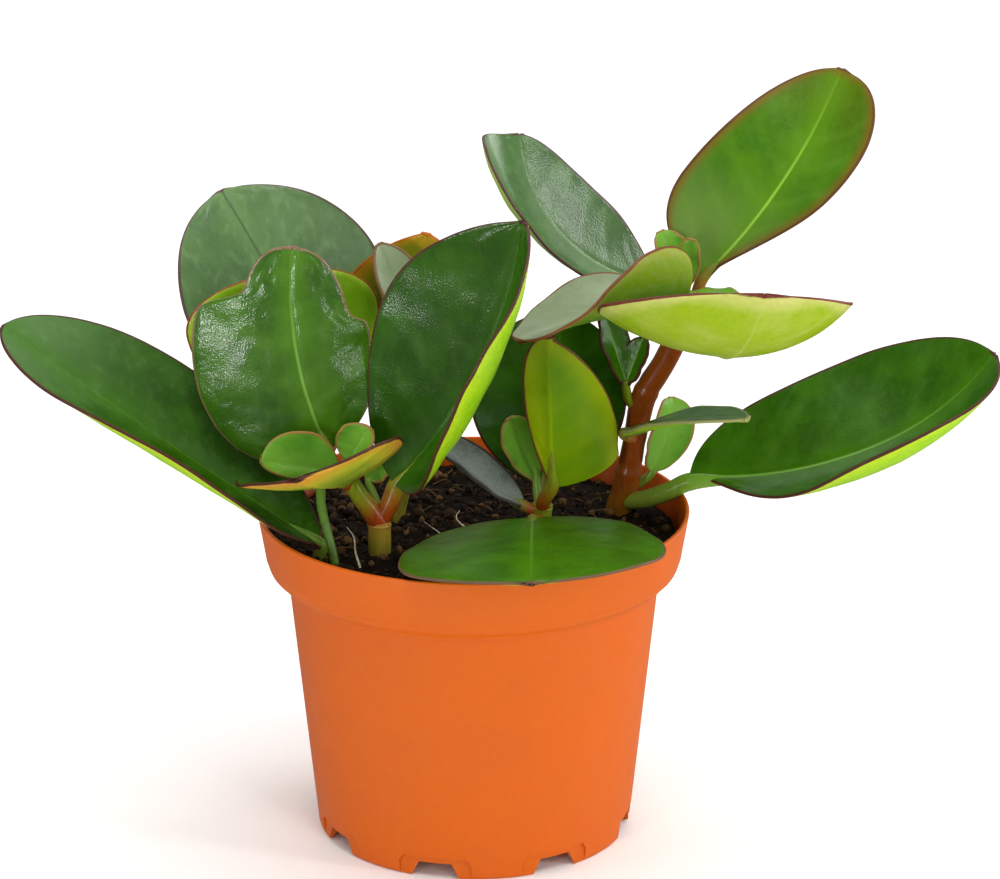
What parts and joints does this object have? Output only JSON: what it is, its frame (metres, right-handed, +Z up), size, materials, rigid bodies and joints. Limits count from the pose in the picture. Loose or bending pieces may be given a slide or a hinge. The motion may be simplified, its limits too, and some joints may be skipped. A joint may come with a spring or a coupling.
{
  "type": "potted house plant",
  "caption": "Red-edged peperomia with broad glossy cupped leaves on short and tall stems, growing in dark soil in a tapered plastic nursery pot with a rim band.",
  "frame": {"origin": "middle of the pot's underside, on the surface that the pot stands on", "axes": "+Z up along the pot's axis; +X along the plant's longest spread, towards its tall stem; -Y is the front, where one leaf lies over the rim"},
  "size_m": [0.2741, 0.1387, 0.2156],
  "materials": {
    "pot_plastic": "satin orange, faintly mottled",
    "soil": "rough, crumbly, nearly black brown",
    "stem": "smooth and fleshy, red-brown to olive",
    "leaf": "waxy gloss, deep green above, lime below, thin dark red edge",
    "young_leaf": "waxy gloss, bright lime green"
  },
  "bodies": {
    "root": {"pot": "pot_plastic", "soil": "soil", "stem_left": "stem", "stem_side": "stem", "stem_back": "stem", "stem_middle": "stem", "stem_right": "stem", "leaf_left_long": "leaf", "leaf_left_back": "leaf", "leaf_notched": "leaf", "leaf_behind_notched": "leaf", "leaf_boat": "leaf", "leaf_center": "leaf", "leaf_grey_fold": "leaf", "leaf_olive": "leaf", "leaf_backlit": "leaf", "leaf_middle_dark": "leaf", "leaf_middle_grey": "leaf", "leaf_front": "leaf", "leaf_top": "leaf", "leaf_upper_left": "leaf", "leaf_grazing": "leaf", "leaf_spoon": "leaf", "leaf_big_right": "leaf", "leaf_across": "leaf", "leaf_small_lime": "young_leaf", "leaf_lime_upright": "young_leaf", "tip_left": "young_leaf", "tip_middle": "young_leaf", "tip_right": "young_leaf", "side_shoot": "young_leaf"}
  },
  "joints": []
}
